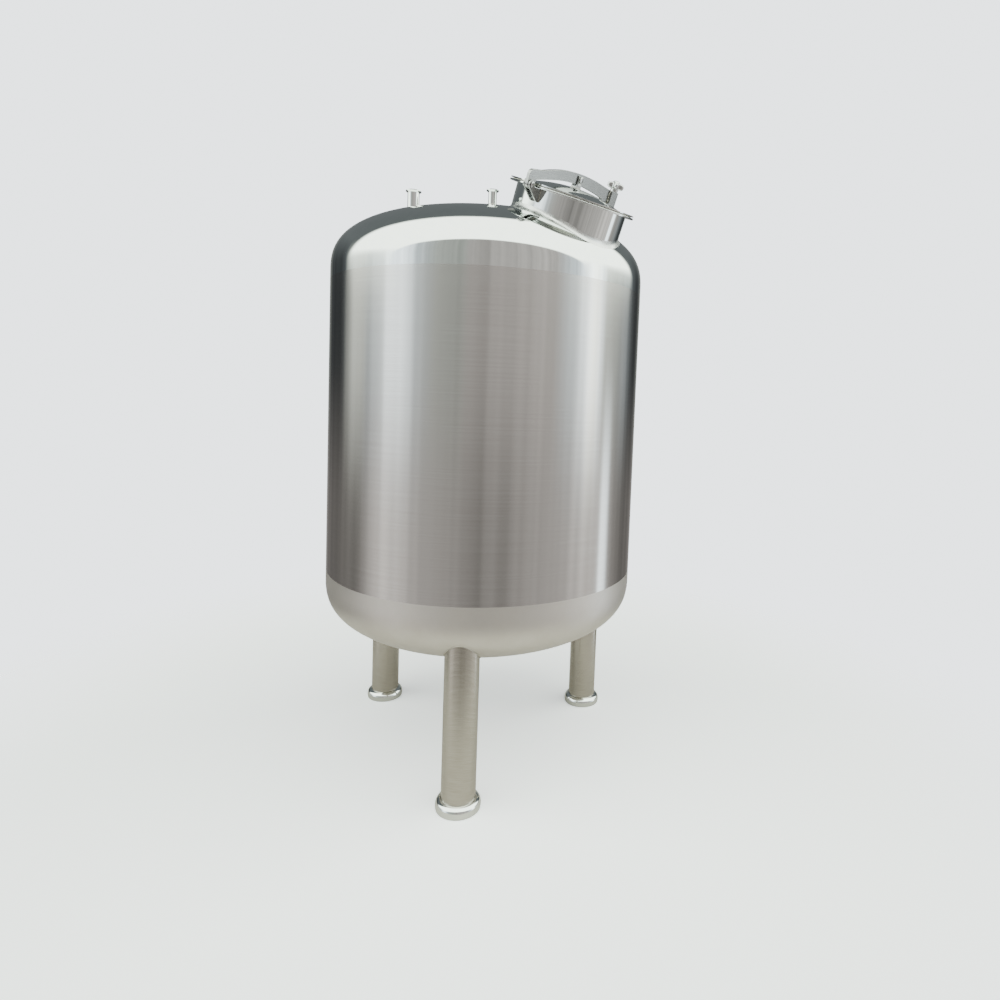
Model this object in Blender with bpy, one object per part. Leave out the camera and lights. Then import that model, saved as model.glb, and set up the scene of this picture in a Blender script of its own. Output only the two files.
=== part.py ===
"""Upright stainless process tank on three pipe legs, with a hinged round manhole on its top head.

Metres, +Z up, origin on the floor under the tank's axis. The manhole has its own frame at the
centre of its rim: x along the cover's arm from hinge to clamp, y up the dome, z out of the neck.
"""
import math

import bmesh
import bpy
from mathutils import Matrix, Vector

# shell and heads
TANK_R = 0.554
WALL = 0.004
WELD_LOW_Z = 0.657
WELD_HIGH_Z = 1.650
FLANGE_H = 0.031
DISH_H = 0.2245
DISH_POWER = 2.67
DISH_ANGLES = (3, 8, 15, 24, 35, 48, 62, 76)
TANK_SEGMENTS = 72
SEAM_GAP = 0.0003

# legs and feet
LEG_CIRCLE_R = 0.4785
LEG_AZIMUTH = {"front": -96.0, "right": 24.0, "left": 144.0}
LEG_R = 0.054
LEG_WALL = 0.003
LEG_SEGMENTS = 32
FOOT_PLATE_R = 0.0532
FOOT_PLATE_T = 0.008
COVER_SHEET = 0.0015
COVER_OUTER = ((0.0600, 0.0322), (0.0662, 0.0272), (0.0700, 0.0190), (0.0708, 0.0100),
               (0.0692, 0.0003))
COVER_TOP_Z = 0.0340

# manhole neck and cover
MANHOLE_AZIMUTH = -51.5
MANHOLE_TILT = 22.0
MANHOLE_RADIUS = 0.388
ARM_TURN = 11.0
NECK_TURN = 7.0
RIM_ABOVE_DOME = 0.060
NECK_R = 0.1825
NECK_WALL = 0.004
NECK_REACH = 0.18
NECK_INSIDE = 0.004
RIM_R = 0.207
RIM_T = 0.006
GASKET_INNER_R = 0.1795
GASKET_OUTER_R = 0.198
GASKET_T = 0.003
LID_R = 0.2055
LID_SHEET = 0.003
LID_FLAT_R = 0.158
LID_RISE = 0.026
LID_KNUCKLE = 0.006
MANHOLE_SEGMENTS = 56
LID_RINGS = 5

# hinge, arm and clamp, all in the manhole frame
HINGE_X, HINGE_Z = -0.228, -0.002
CLAMP_X, CLAMP_Z = 0.222, -0.042
ARM_T = 0.012
ARM_END_X = 0.192
ARM_TOP = ((-0.185, 0.046), (-0.140, 0.058), (-0.080, 0.070), (0.000, 0.077), (0.080, 0.076),
           (0.140, 0.071))
ARM_UNDER = ((0.150, 0.031), (0.080, 0.039), (0.000, 0.043), (-0.080, 0.038), (-0.150, 0.026),
             (-0.206, 0.014))
BOSS_R = 0.014
SHOULDER_Z = 0.024
SHOULDER_R = 0.016
FORK_TOP_Z = 0.066
FORK_UNDER_Z = 0.014
FORK_END_X = 0.232
FORK_W = 0.032
FORK_SLOT_W = 0.016
FORK_SLOT_X = 0.210
FORK_CORNER = 0.004
LUG_PIN_Z = 0.060
LUG_LENGTH = 0.024
LUG_CLEARANCE = 0.0012
LUG_WALL = 0.004
LUG_FLOOR = 0.005
LUG_ABOVE_PIN = 0.010
LUG_CHAMFER = (0.001, 0.003)
LUG_PIN_REACH = 0.0155
EAR_T = 0.005
EAR_INNER_Y = 0.008
EAR_ROOT_X = 0.1830
HINGE_EAR_R = 0.013
HINGE_EAR_Z = (-0.0460, -0.0070)
HINGE_EAR_FOOT = (0.0095, -0.0440)
CLAMP_EAR_R = 0.012
CLAMP_EAR_Z = (-0.0600, -0.0180)
CLAMP_EAR_FOOT = (0.0115, -0.0600)
PIN_R = 0.005
PIN_HOLE_R = 0.0053
PIN_HEAD_R = 0.0085
PIN_HEAD_T = 0.003
PIN_CUT_REACH = 0.03
ROD_R = 0.006
ROD_TOP_Z = 0.0895
ROD_START = 0.004
ROD_SEGMENTS = 20
EYE_R = 0.011
KNOB_FOOT_Z = 0.0665
KNOB_LOBES = 5
KNOB_LOBE_SEGMENTS = 8
KNOB_HUB_R = 0.0135
KNOB_BORE_R = 0.0063
KNOB_BORE_TOP = 0.0250
KNOB_LEVELS = (
    # radius, lobe reach, height above the knob's foot
    (KNOB_HUB_R, 0.0, 0.0), (KNOB_HUB_R, 0.0, 0.009), (0.0210, 0.0048, 0.010), (0.0240, 0.0060, 0.014),
    (0.0240, 0.0060, 0.024), (0.0200, 0.0042, 0.029), (KNOB_HUB_R, 0.0, 0.030), (0.0095, 0.0, 0.035),
    (0.0, 0.0, 0.036))

# ferrules on the heads
PORTS = {
    "vent_ferrule": (-0.257, -0.222, 0.0190, 0.0175, 0.02525, 0.057),
    "spray_ferrule": (0.000, -0.343, 0.0130, 0.0115, 0.0195, 0.043),
}
OUTLET_R = 0.0190
OUTLET_BORE_R = 0.0175
OUTLET_FLANGE_R = 0.02525
OUTLET_DROP = 0.046
PORT_REACH = 0.045
OUTLET_REACH = 0.020
HOLE_CUT_REACH = 0.05
HEAD_CUT_REACH = 0.3
FERRULE_FLANGE_T = 0.0029
FERRULE_FLARE_H = 0.0035
PORT_SEGMENTS = 32


def clear_scene():
    for old in list(bpy.data.objects):
        bpy.data.objects.remove(old, do_unlink=True)


def steel(name, colour, roughness, metallic=1.0):
    material = bpy.data.materials.new(name)
    material.use_nodes = True
    shader = material.node_tree.nodes["Principled BSDF"]
    shader.inputs["Base Color"].default_value = (*colour, 1.0)
    shader.inputs["Roughness"].default_value = roughness
    shader.inputs["Metallic"].default_value = metallic
    return material


def add_object(name, bm, material, parent=None):
    bmesh.ops.recalc_face_normals(bm, faces=bm.faces)
    mesh = bpy.data.meshes.new(name)
    bm.to_mesh(mesh)
    bm.free()
    mesh.shade_smooth()
    mesh.set_sharp_from_angle(angle=math.radians(35))
    obj = bpy.data.objects.new(name, mesh)
    bpy.context.scene.collection.objects.link(obj)
    if material:
        mesh.materials.append(material)
    if parent:
        obj.parent = parent
    return obj


def add_empty(name, location, parent=None):
    empty = bpy.data.objects.new(name, None)
    bpy.context.scene.collection.objects.link(empty)
    empty.location = location
    if parent:
        empty.parent = parent
    return empty


def turned(profile, segments, closed=True, offset=(0.0, 0.0, 0.0)):
    """Turn (radius, height) points about Z; a point at radius 0 becomes one shared vertex."""
    bm = bmesh.new()
    rings = []
    for radius, height in profile:
        if radius == 0.0:
            rings.append([bm.verts.new((offset[0], offset[1], height + offset[2]))])
            continue
        ring = []
        for k in range(segments):
            angle = 2 * math.pi * k / segments
            ring.append(bm.verts.new((radius * math.cos(angle) + offset[0],
                                      radius * math.sin(angle) + offset[1],
                                      height + offset[2])))
        rings.append(ring)
    pairs = list(zip(rings, rings[1:]))
    if closed:
        pairs.append((rings[-1], rings[0]))
    for lower, upper in pairs:
        bridge(bm, lower, upper)
    return bm


def bridge(bm, lower, upper):
    count = max(len(lower), len(upper))
    for k in range(count):
        nxt = (k + 1) % count
        if len(lower) == 1 and len(upper) == 1:
            return
        if len(lower) == 1:
            bm.faces.new((lower[0], upper[nxt], upper[k]))
        elif len(upper) == 1:
            bm.faces.new((lower[k], lower[nxt], upper[0]))
        else:
            bm.faces.new((lower[k], lower[nxt], upper[nxt], upper[k]))


def prism_xz(outline, y_low, y_high):
    """A plate with an (x, z) outline, standing between two y values."""
    bm = bmesh.new()
    near = [bm.verts.new((x, y_low, z)) for x, z in outline]
    far = [bm.verts.new((x, y_high, z)) for x, z in outline]
    bm.faces.new(near)
    bm.faces.new(list(reversed(far)))
    for k in range(len(outline)):
        nxt = (k + 1) % len(outline)
        bm.faces.new((near[nxt], near[k], far[k], far[nxt]))
    return bm


def rod_y(radius, y_low, y_high, x, z, segments=24, heads=0.0):
    """A round bar along Y, with a flat head at each end when heads is more than zero."""
    profile = [(0.0, y_low), (radius, y_low), (radius, y_high), (0.0, y_high)]
    if heads:
        profile = [(0.0, y_low), (heads, y_low), (heads, y_low + PIN_HEAD_T),
                   (radius, y_low + PIN_HEAD_T), (radius, y_high - PIN_HEAD_T),
                   (heads, y_high - PIN_HEAD_T), (heads, y_high), (0.0, y_high)]
    bm = turned(profile, segments, closed=False)
    bm.transform(Matrix.Translation((x, 0, z)) @ Matrix.Rotation(math.radians(-90), 4, "X"))
    return bm


def pin_cutter(x, z):
    return rod_y(PIN_HOLE_R, -PIN_CUT_REACH, PIN_CUT_REACH, x, z)


def arc(centre, radius, start, end, steps):
    points = []
    for k in range(steps + 1):
        angle = math.radians(start + (end - start) * k / steps)
        points.append((centre[0] + radius * math.cos(angle), centre[1] + radius * math.sin(angle)))
    return points


def combine(target, bm, operation):
    """Cut or join a mesh with the exact solver, then keep only the result."""
    tool = add_object("tool", bm, None)
    tool.parent = target.parent
    tool.hide_render = True
    tool.display_type = "WIRE"
    step = target.modifiers.new("step", "BOOLEAN")
    step.operation = operation
    step.solver = "EXACT"
    step.object = tool
    bpy.context.view_layer.update()
    solved = target.evaluated_get(bpy.context.evaluated_depsgraph_get())
    mesh = bpy.data.meshes.new_from_object(solved)
    target.modifiers.remove(step)
    target.data = mesh
    bpy.data.objects.remove(tool, do_unlink=True)


def head_outline(extra):
    """Outer half profile of a dished head, from its open edge to its pole, grown by extra."""
    radius = TANK_R + extra
    dish = DISH_H + extra
    points = [(radius, 0.0), (radius, FLANGE_H)]
    for degrees in DISH_ANGLES:
        share = 2 / DISH_POWER
        across = math.cos(math.radians(degrees)) ** share
        rise = math.sin(math.radians(degrees)) ** share
        points.append((radius * across, FLANGE_H + dish * rise))
    points.append((0.0, FLANGE_H + dish))
    return points


def head_mesh(base_z, up):
    outer = head_outline(0.0)
    inner = head_outline(-WALL)
    profile = outer + list(reversed(inner))
    return turned([(r, base_z + up * h) for r, h in profile], TANK_SEGMENTS)


def head_solid(base_z, up, extra):
    """The space a head fills, running on past its open edge, used as a cutter."""
    open_z = base_z - up * HEAD_CUT_REACH
    profile = [(0.0, open_z), (TANK_R + extra, open_z)]
    profile += [(r, base_z + up * h) for r, h in head_outline(extra)]
    return turned(profile, TANK_SEGMENTS, closed=False)


def cylinder(radius, z_low, z_high, segments, x=0.0, y=0.0):
    profile = [(0.0, z_low), (radius, z_low), (radius, z_high), (0.0, z_high)]
    return turned(profile, segments, closed=False, offset=(x, y, 0.0))


def dome_height(radius):
    share = 1 - (radius / TANK_R) ** DISH_POWER
    return WELD_HIGH_Z + SEAM_GAP + FLANGE_H + DISH_H * share ** (1 / DISH_POWER)


def manhole_matrix(swing):
    azimuth = math.radians(MANHOLE_AZIMUTH)
    tilt = math.radians(MANHOLE_TILT)
    out = Vector((math.sin(tilt) * math.cos(azimuth), math.sin(tilt) * math.sin(azimuth),
                  math.cos(tilt)))
    along = Vector((-math.sin(azimuth), math.cos(azimuth), 0.0))
    uphill = out.cross(along)
    foot = Vector((MANHOLE_RADIUS * math.cos(azimuth), MANHOLE_RADIUS * math.sin(azimuth),
                   dome_height(MANHOLE_RADIUS)))
    centre = foot + out * RIM_ABOVE_DOME
    turn = Matrix((along, uphill, out)).transposed().to_4x4()
    return Matrix.Translation(centre) @ turn @ Matrix.Rotation(math.radians(swing), 4, "Z")


def ferrule_mesh(tube_r, bore_r, flange_r, top, reach):
    profile = [(bore_r, -reach), (tube_r, -reach),
               (tube_r, top - FERRULE_FLANGE_T - FERRULE_FLARE_H),
               (flange_r, top - FERRULE_FLANGE_T), (flange_r, top), (bore_r, top)]
    return turned(profile, PORT_SEGMENTS)


def build_vessel(brushed, polished):
    shell_profile = [(TANK_R, WELD_LOW_Z), (TANK_R, WELD_HIGH_Z),
                     (TANK_R - WALL, WELD_HIGH_Z), (TANK_R - WALL, WELD_LOW_Z)]
    add_object("shell", turned(shell_profile, TANK_SEGMENTS), brushed["shell"])
    top = add_object("top_head", head_mesh(WELD_HIGH_Z + SEAM_GAP, 1), polished["top_head"])
    neck_hole = cylinder(NECK_R + SEAM_GAP, -NECK_REACH, HOLE_CUT_REACH, MANHOLE_SEGMENTS)
    neck_hole.transform(manhole_matrix(NECK_TURN))
    combine(top, neck_hole, "DIFFERENCE")
    for x, y, _, bore_r, _, _ in PORTS.values():
        z = dome_height(math.hypot(x, y))
        bore = cylinder(bore_r, z - HOLE_CUT_REACH, z + HOLE_CUT_REACH, PORT_SEGMENTS, x, y)
        combine(top, bore, "DIFFERENCE")
    low = add_object("bottom_head", head_mesh(WELD_LOW_Z - SEAM_GAP, -1), brushed["bottom_head"])
    pole_z = WELD_LOW_Z - SEAM_GAP - FLANGE_H - DISH_H
    bore = cylinder(OUTLET_BORE_R, pole_z - HOLE_CUT_REACH, pole_z + HOLE_CUT_REACH, PORT_SEGMENTS)
    combine(low, bore, "DIFFERENCE")


def build_ports(polished):
    dome = WELD_HIGH_Z + SEAM_GAP
    for name, (x, y, tube_r, bore_r, flange_r, height) in PORTS.items():
        foot = dome_height(math.hypot(x, y))
        bm = ferrule_mesh(tube_r, bore_r, flange_r, height, PORT_REACH)
        bm.transform(Matrix.Translation((x, y, foot)))
        port = add_object(name, bm, polished[name])
        combine(port, head_solid(dome, 1, SEAM_GAP), "DIFFERENCE")
    base = WELD_LOW_Z - SEAM_GAP
    bm = ferrule_mesh(OUTLET_R, OUTLET_BORE_R, OUTLET_FLANGE_R, OUTLET_DROP, OUTLET_REACH)
    bm.transform(Matrix.Translation((0, 0, base - FLANGE_H - DISH_H)) @ Matrix.Rotation(math.pi, 4, "X"))
    outlet = add_object("outlet_ferrule", bm, polished["outlet_ferrule"])
    combine(outlet, head_solid(base, -1, SEAM_GAP), "DIFFERENCE")


def build_leg(name, azimuth, brushed, polished):
    x = LEG_CIRCLE_R * math.cos(math.radians(azimuth))
    y = LEG_CIRCLE_R * math.sin(math.radians(azimuth))
    base = add_empty("place_" + name, (x, y, 0.0))
    foot = FOOT_PLATE_T + SEAM_GAP
    tube = [(LEG_R, foot), (LEG_R, WELD_LOW_Z), (LEG_R - LEG_WALL, WELD_LOW_Z), (LEG_R - LEG_WALL, foot)]
    leg = add_object("leg_" + name, turned(tube, LEG_SEGMENTS), brushed["leg_" + name], base)
    cutter = head_solid(WELD_LOW_Z - SEAM_GAP, -1, SEAM_GAP)
    cutter.transform(Matrix.Translation((-x, -y, 0.0)))
    combine(leg, cutter, "DIFFERENCE")
    plate = cylinder(FOOT_PLATE_R, 0.0, FOOT_PLATE_T, LEG_SEGMENTS)
    add_object("foot_plate_" + name, plate, brushed["foot_plate_" + name], base)
    mouth = LEG_R + SEAM_GAP
    inner = [(mouth, COVER_TOP_Z - COVER_SHEET)]
    inner += [(r - COVER_SHEET, max(z - COVER_SHEET, COVER_OUTER[-1][1])) for r, z in COVER_OUTER]
    outer = [(mouth, COVER_TOP_Z)] + list(COVER_OUTER)
    cover = turned(outer + list(reversed(inner)), LEG_SEGMENTS)
    add_object("foot_cover_" + name, cover, polished["foot_cover_" + name], base)


def build_neck(frame, polished):
    tube = [(NECK_R, -NECK_REACH), (NECK_R, -RIM_T - SEAM_GAP),
            (NECK_R - NECK_WALL, -RIM_T - SEAM_GAP), (NECK_R - NECK_WALL, -NECK_REACH)]
    neck = add_object("manhole_neck", turned(tube, MANHOLE_SEGMENTS), polished["manhole_neck"], frame)
    cavity = head_solid(WELD_HIGH_Z + SEAM_GAP, 1, -WALL - NECK_INSIDE)
    cavity.transform(frame.matrix_world.inverted())
    combine(neck, cavity, "DIFFERENCE")
    rim = [(RIM_R, -RIM_T), (RIM_R, 0.0), (NECK_R - NECK_WALL, 0.0), (NECK_R - NECK_WALL, -RIM_T)]
    add_object("manhole_rim", turned(rim, MANHOLE_SEGMENTS), polished["manhole_rim"], frame)


def lid_profile(drop):
    base = SEAM_GAP + GASKET_T + SEAM_GAP + LID_SHEET - drop
    points = [(LID_R, base), (LID_FLAT_R + LID_KNUCKLE, base)]
    for k in range(1, LID_RINGS):
        share = 1 - k / LID_RINGS
        points.append((LID_FLAT_R * share, base + LID_RISE * (1 - share ** 2)))
    points.append((0.0, base + LID_RISE))
    return points


def build_cover(pivot, polished, brushed, rubber):
    shift = Matrix.Translation((-HINGE_X, 0.0, -HINGE_Z))
    gasket = [(GASKET_OUTER_R, SEAM_GAP), (GASKET_OUTER_R, SEAM_GAP + GASKET_T),
              (GASKET_INNER_R, SEAM_GAP + GASKET_T), (GASKET_INNER_R, SEAM_GAP)]
    lid = lid_profile(0.0) + list(reversed(lid_profile(LID_SHEET)))
    pieces = {
        "manhole_gasket": (turned(gasket, MANHOLE_SEGMENTS), rubber),
        "manhole_lid": (turned(lid, MANHOLE_SEGMENTS), polished["manhole_lid"]),
        "lid_lug": (lug_mesh(), brushed["lid_lug"]),
        "cover_arm": (arm_mesh(), brushed["cover_arm"]),
        "arm_fork": (fork_mesh(), brushed["arm_fork"]),
        "lid_lug_pin": (rod_y(PIN_R, -LUG_PIN_REACH, LUG_PIN_REACH, 0.0, LUG_PIN_Z,
                              heads=PIN_HEAD_R), polished["lid_lug_pin"]),
    }
    for name, (bm, material) in pieces.items():
        bm.transform(shift)
        add_object(name, bm, material, pivot)
    cut = pin_cutter(0.0, LUG_PIN_Z)
    cut.transform(shift)
    combine(bpy.data.objects["lid_lug"], cut.copy(), "DIFFERENCE")
    combine(bpy.data.objects["cover_arm"], cut, "DIFFERENCE")
    combine(bpy.data.objects["cover_arm"], pin_cutter(0.0, 0.0), "DIFFERENCE")


def lug_mesh():
    """A U of flat bar across the lid's middle, with one ear on each side of the arm."""
    base = SEAM_GAP + GASKET_T + SEAM_GAP + LID_SHEET + LID_RISE + SEAM_GAP
    inner = ARM_T / 2 + LUG_CLEARANCE
    outer = inner + LUG_WALL
    floor = base + LUG_FLOOR
    top = LUG_PIN_Z + LUG_ABOVE_PIN
    side, down = LUG_CHAMFER
    outline = [(-outer, base), (outer, base), (outer, top - down), (outer - side, top), (inner, top),
               (inner, floor), (-inner, floor), (-inner, top), (-outer + side, top),
               (-outer, top - down)]
    bm = prism_xz(outline, -LUG_LENGTH / 2, LUG_LENGTH / 2)
    bm.transform(Matrix.Rotation(math.radians(90), 4, "Z"))
    return bm


def arm_mesh():
    boss = arc((HINGE_X, HINGE_Z), BOSS_R, 180, 360, 10)
    shoulder = arc((HINGE_X - BOSS_R + SHOULDER_R, SHOULDER_Z), SHOULDER_R, 180, 100, 4)
    outline = boss + list(reversed(ARM_UNDER)) + [(ARM_END_X, FORK_UNDER_Z)]
    outline += [(ARM_END_X, FORK_TOP_Z)] + list(reversed(ARM_TOP)) + list(reversed(shoulder))
    return prism_xz(outline, -ARM_T / 2, ARM_T / 2)


def fork_mesh():
    start = ARM_END_X + SEAM_GAP
    corner = FORK_CORNER
    half = FORK_W / 2
    slot = FORK_SLOT_W / 2
    root = arc((FORK_SLOT_X + slot, 0.0), slot, 90, 270, 8)
    outline = [(start, -half), (FORK_END_X - corner, -half), (FORK_END_X, -half + corner),
               (FORK_END_X, -slot)] + list(reversed(root))
    outline += [(FORK_END_X, slot), (FORK_END_X, half - corner), (FORK_END_X - corner, half),
                (start, half)]
    bm = bmesh.new()
    low = [bm.verts.new((x, y, FORK_UNDER_Z)) for x, y in outline]
    high = [bm.verts.new((x, y, FORK_TOP_Z)) for x, y in outline]
    bm.faces.new(list(reversed(low)))
    bm.faces.new(high)
    for k in range(len(outline)):
        nxt = (k + 1) % len(outline)
        bm.faces.new((low[k], low[nxt], high[nxt], high[k]))
    return bm


def ear_outlines():
    low, high = HINGE_EAR_Z
    foot, foot_z = HINGE_EAR_FOOT
    hinge = [(-EAR_ROOT_X, high), (-EAR_ROOT_X, low), (-EAR_ROOT_X - foot, foot_z)]
    hinge += arc((HINGE_X, HINGE_Z), HINGE_EAR_R, -125, -360, 14)
    hinge += [(HINGE_X + HINGE_EAR_R, high)]
    low, high = CLAMP_EAR_Z
    foot, foot_z = CLAMP_EAR_FOOT
    clamp = [(EAR_ROOT_X, high), (EAR_ROOT_X, low), (EAR_ROOT_X + foot, foot_z)]
    clamp += arc((CLAMP_X, CLAMP_Z), CLAMP_EAR_R, -100, 110, 12)
    return {"hinge": (hinge, HINGE_X, HINGE_Z), "clamp": (clamp, CLAMP_X, CLAMP_Z)}


def build_ears(frame, brushed, polished):
    outer_y = EAR_INNER_Y + EAR_T
    for kind, (outline, x, z) in ear_outlines().items():
        for side, low, high in (("near", -outer_y, -EAR_INNER_Y), ("far", EAR_INNER_Y, outer_y)):
            name = "%s_ear_%s" % (kind, side)
            ear = add_object(name, prism_xz(outline, low, high), brushed[name], frame)
            combine(ear, pin_cutter(x, z), "DIFFERENCE")
        reach = outer_y + SEAM_GAP + PIN_HEAD_T
        pin = rod_y(PIN_R, -reach, reach, x, z, heads=PIN_HEAD_R)
        add_object(kind + "_pin", pin, polished[kind + "_pin"], frame)


def build_swing_bolt(pivot, knob_axis, polished):
    eye = rod_y(EYE_R, -ARM_T / 2, ARM_T / 2, 0.0, 0.0)
    bolt = add_object("swing_bolt", eye, polished["swing_bolt"], pivot)
    combine(bolt, cylinder(ROD_R, ROD_START, ROD_TOP_Z - CLAMP_Z, ROD_SEGMENTS), "UNION")
    combine(bolt, pin_cutter(0.0, 0.0), "DIFFERENCE")
    add_object("star_knob", knob_mesh(), polished["star_knob"], knob_axis)


def knob_mesh():
    """A five-lobed hand knob on a round foot, bored from below for the bolt's end."""
    segments = KNOB_LOBES * KNOB_LOBE_SEGMENTS
    levels = [(KNOB_BORE_R, 0.0, 0.0)] + list(KNOB_LEVELS)
    bm = bmesh.new()
    rings = []
    for radius, lobe, height in levels:
        rings.append(knob_ring(bm, radius, lobe, height, segments))
    bore_ring = knob_ring(bm, KNOB_BORE_R, 0.0, KNOB_BORE_TOP, segments)
    bore_end = [bm.verts.new((0.0, 0.0, KNOB_BORE_TOP))]
    for lower, upper in zip(rings, rings[1:]):
        bridge(bm, lower, upper)
    bridge(bm, bore_ring, rings[0])
    bridge(bm, bore_end, bore_ring)
    return bm


def knob_ring(bm, radius, lobe, height, segments):
    if radius == 0.0:
        return [bm.verts.new((0.0, 0.0, height))]
    ring = []
    for k in range(segments):
        angle = 2 * math.pi * k / segments
        reach = radius + lobe * math.cos(KNOB_LOBES * angle)
        ring.append(bm.verts.new((reach * math.cos(angle), reach * math.sin(angle), height)))
    return ring


def materials(names, colour, roughness):
    return {name: steel(name, colour, roughness) for name in names}


def build():
    clear_scene()
    sides = list(LEG_AZIMUTH)
    ears = [kind + "_ear_" + side for kind in ("hinge", "clamp") for side in ("near", "far")]
    brushed = materials(["shell", "bottom_head", "lid_lug", "cover_arm", "arm_fork"] + ears
                        + ["leg_" + s for s in sides] + ["foot_plate_" + s for s in sides],
                        (0.55, 0.54, 0.51), 0.32)
    polished = materials(["top_head", "manhole_neck", "manhole_rim", "manhole_lid", "lid_lug_pin",
                          "hinge_pin", "clamp_pin", "swing_bolt", "star_knob", "outlet_ferrule"]
                         + list(PORTS) + ["foot_cover_" + s for s in sides],
                         (0.68, 0.69, 0.70), 0.06)
    rubber = steel("manhole_gasket", (0.75, 0.74, 0.70), 0.6, metallic=0.0)
    build_vessel(brushed, polished)
    build_ports(polished)
    for name, azimuth in LEG_AZIMUTH.items():
        build_leg(name, azimuth, brushed, polished)
    neck_frame = add_empty("neck_frame", (0.0, 0.0, 0.0))
    neck_frame.matrix_world = manhole_matrix(NECK_TURN)
    frame = add_empty("manhole_frame", (0.0, 0.0, 0.0))
    frame.matrix_world = manhole_matrix(ARM_TURN)
    bpy.context.view_layer.update()
    build_neck(neck_frame, polished)
    build_ears(frame, brushed, polished)
    build_cover(add_empty("cover_pivot", (HINGE_X, 0.0, HINGE_Z), frame), polished, brushed, rubber)
    bolt_pivot = add_empty("bolt_pivot", (CLAMP_X, 0.0, CLAMP_Z), frame)
    knob_axis = add_empty("knob_axis", (0.0, 0.0, KNOB_FOOT_Z - CLAMP_Z), bolt_pivot)
    build_swing_bolt(bolt_pivot, knob_axis, polished)


build()
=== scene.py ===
"""Looks of an upright stainless process tank on three pipe legs, with a hinged round manhole.

Metres, +Z up, the tank's axis on Z, the photographed side towards -Y. Sections follow the tank as
it is put together: shell, heads, legs, ferrules, manhole neck, cover, hinge and clamp, weld beads.
"""
import math

import bmesh
import bpy
from mathutils import Matrix, Vector


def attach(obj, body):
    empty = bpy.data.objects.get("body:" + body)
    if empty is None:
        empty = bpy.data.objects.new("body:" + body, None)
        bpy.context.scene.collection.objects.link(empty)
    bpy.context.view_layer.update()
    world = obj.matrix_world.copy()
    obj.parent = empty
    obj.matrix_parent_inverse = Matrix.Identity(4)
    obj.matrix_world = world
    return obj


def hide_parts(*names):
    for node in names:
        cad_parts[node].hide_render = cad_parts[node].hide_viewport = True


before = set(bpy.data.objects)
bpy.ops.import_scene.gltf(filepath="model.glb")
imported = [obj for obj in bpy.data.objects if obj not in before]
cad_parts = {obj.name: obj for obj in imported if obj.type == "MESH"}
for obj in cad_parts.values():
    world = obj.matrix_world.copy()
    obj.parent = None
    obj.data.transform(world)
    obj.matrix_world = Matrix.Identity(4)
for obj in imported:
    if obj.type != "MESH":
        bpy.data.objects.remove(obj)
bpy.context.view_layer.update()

# Camera. A phone's wide lens at chest height, 2.4 m in front of the tank's axis and leaning a
# little. The numbers come from laying the tank's welds, legs and rims over the photograph's.
CAMERA_AT = Vector((0.0, -2.4088, 1.2956))
CAMERA_LENS_MM = 22.976
CAMERA_SENSOR_MM = 36.0
CAMERA_SHIFT = (-0.0672, -0.0663)
CAMERA_YAW = 0.1277
CAMERA_PITCH = 0.063
CAMERA_ROLL = 0.0385
UP = Vector((0.0, 0.0, 1.0))

heading = Vector((math.sin(CAMERA_YAW), math.cos(CAMERA_YAW), 0.0))
across = Vector((math.cos(CAMERA_YAW), -math.sin(CAMERA_YAW), 0.0))
ahead = heading * math.cos(CAMERA_PITCH) - UP * math.sin(CAMERA_PITCH)
over = UP * math.cos(CAMERA_PITCH) + heading * math.sin(CAMERA_PITCH)
right = across * math.cos(CAMERA_ROLL) + over * math.sin(CAMERA_ROLL)
over = over * math.cos(CAMERA_ROLL) - across * math.sin(CAMERA_ROLL)
camera = bpy.data.objects.new("camera", bpy.data.cameras.new("camera"))
camera.data.sensor_width = CAMERA_SENSOR_MM
camera.data.lens = CAMERA_LENS_MM
camera.data.shift_x, camera.data.shift_y = CAMERA_SHIFT
camera_turn = Matrix((right, over, -ahead)).transposed().to_4x4()
camera.matrix_world = Matrix.Translation(CAMERA_AT) @ camera_turn
bpy.context.scene.collection.objects.link(camera)
bpy.context.scene.camera = camera


# Studio light. A wide bright ceiling that leans back over the tank, a tall strip on each side, dim
# walls in front and a dark screen behind: what polished steel needs to show its form. The camera
# itself sees only plain pale paper.
PAPER = "#f4fafe"
PAPER_LEVEL = 3.0
LIGHT_LEVEL = 4.8
GREENISH, COOL, WARM = "#eff4ec", "#e6f0f5", "#f7f1ec"
WALLS = (
    # degrees from the camera's side, share of the full level, tint
    (-162, 0.090, GREENISH), (-146, 0.014, COOL), (-124, 0.014, COOL), (-119, 0.030, COOL),
    (-113, 0.150, GREENISH), (-104, 0.280, GREENISH),
    (-97, 0.230, GREENISH), (-91, 0.150, COOL), (-85, 0.260, COOL), (-79, 0.310, COOL),
    (-73, 0.680, COOL), (-57, 0.600, COOL), (-51, 0.240, COOL), (-36, 0.145, GREENISH),
    (-18, 0.112, GREENISH), (-14, 0.136, WARM), (-5, 0.112, WARM), (2, 0.136, WARM),
    (40, 0.165, WARM), (47, 0.145, WARM), (60, 0.270, COOL), (67, 0.380, COOL),
    (74, 0.850, COOL), (82, 1.150, GREENISH), (88, 0.700, COOL), (93, 0.210, GREENISH),
    (104, 0.140, GREENISH), (119, 0.130, COOL), (128, 0.050, COOL), (137, 0.014, COOL),
    (146, 0.014, COOL), (162, 0.090, GREENISH))
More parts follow.
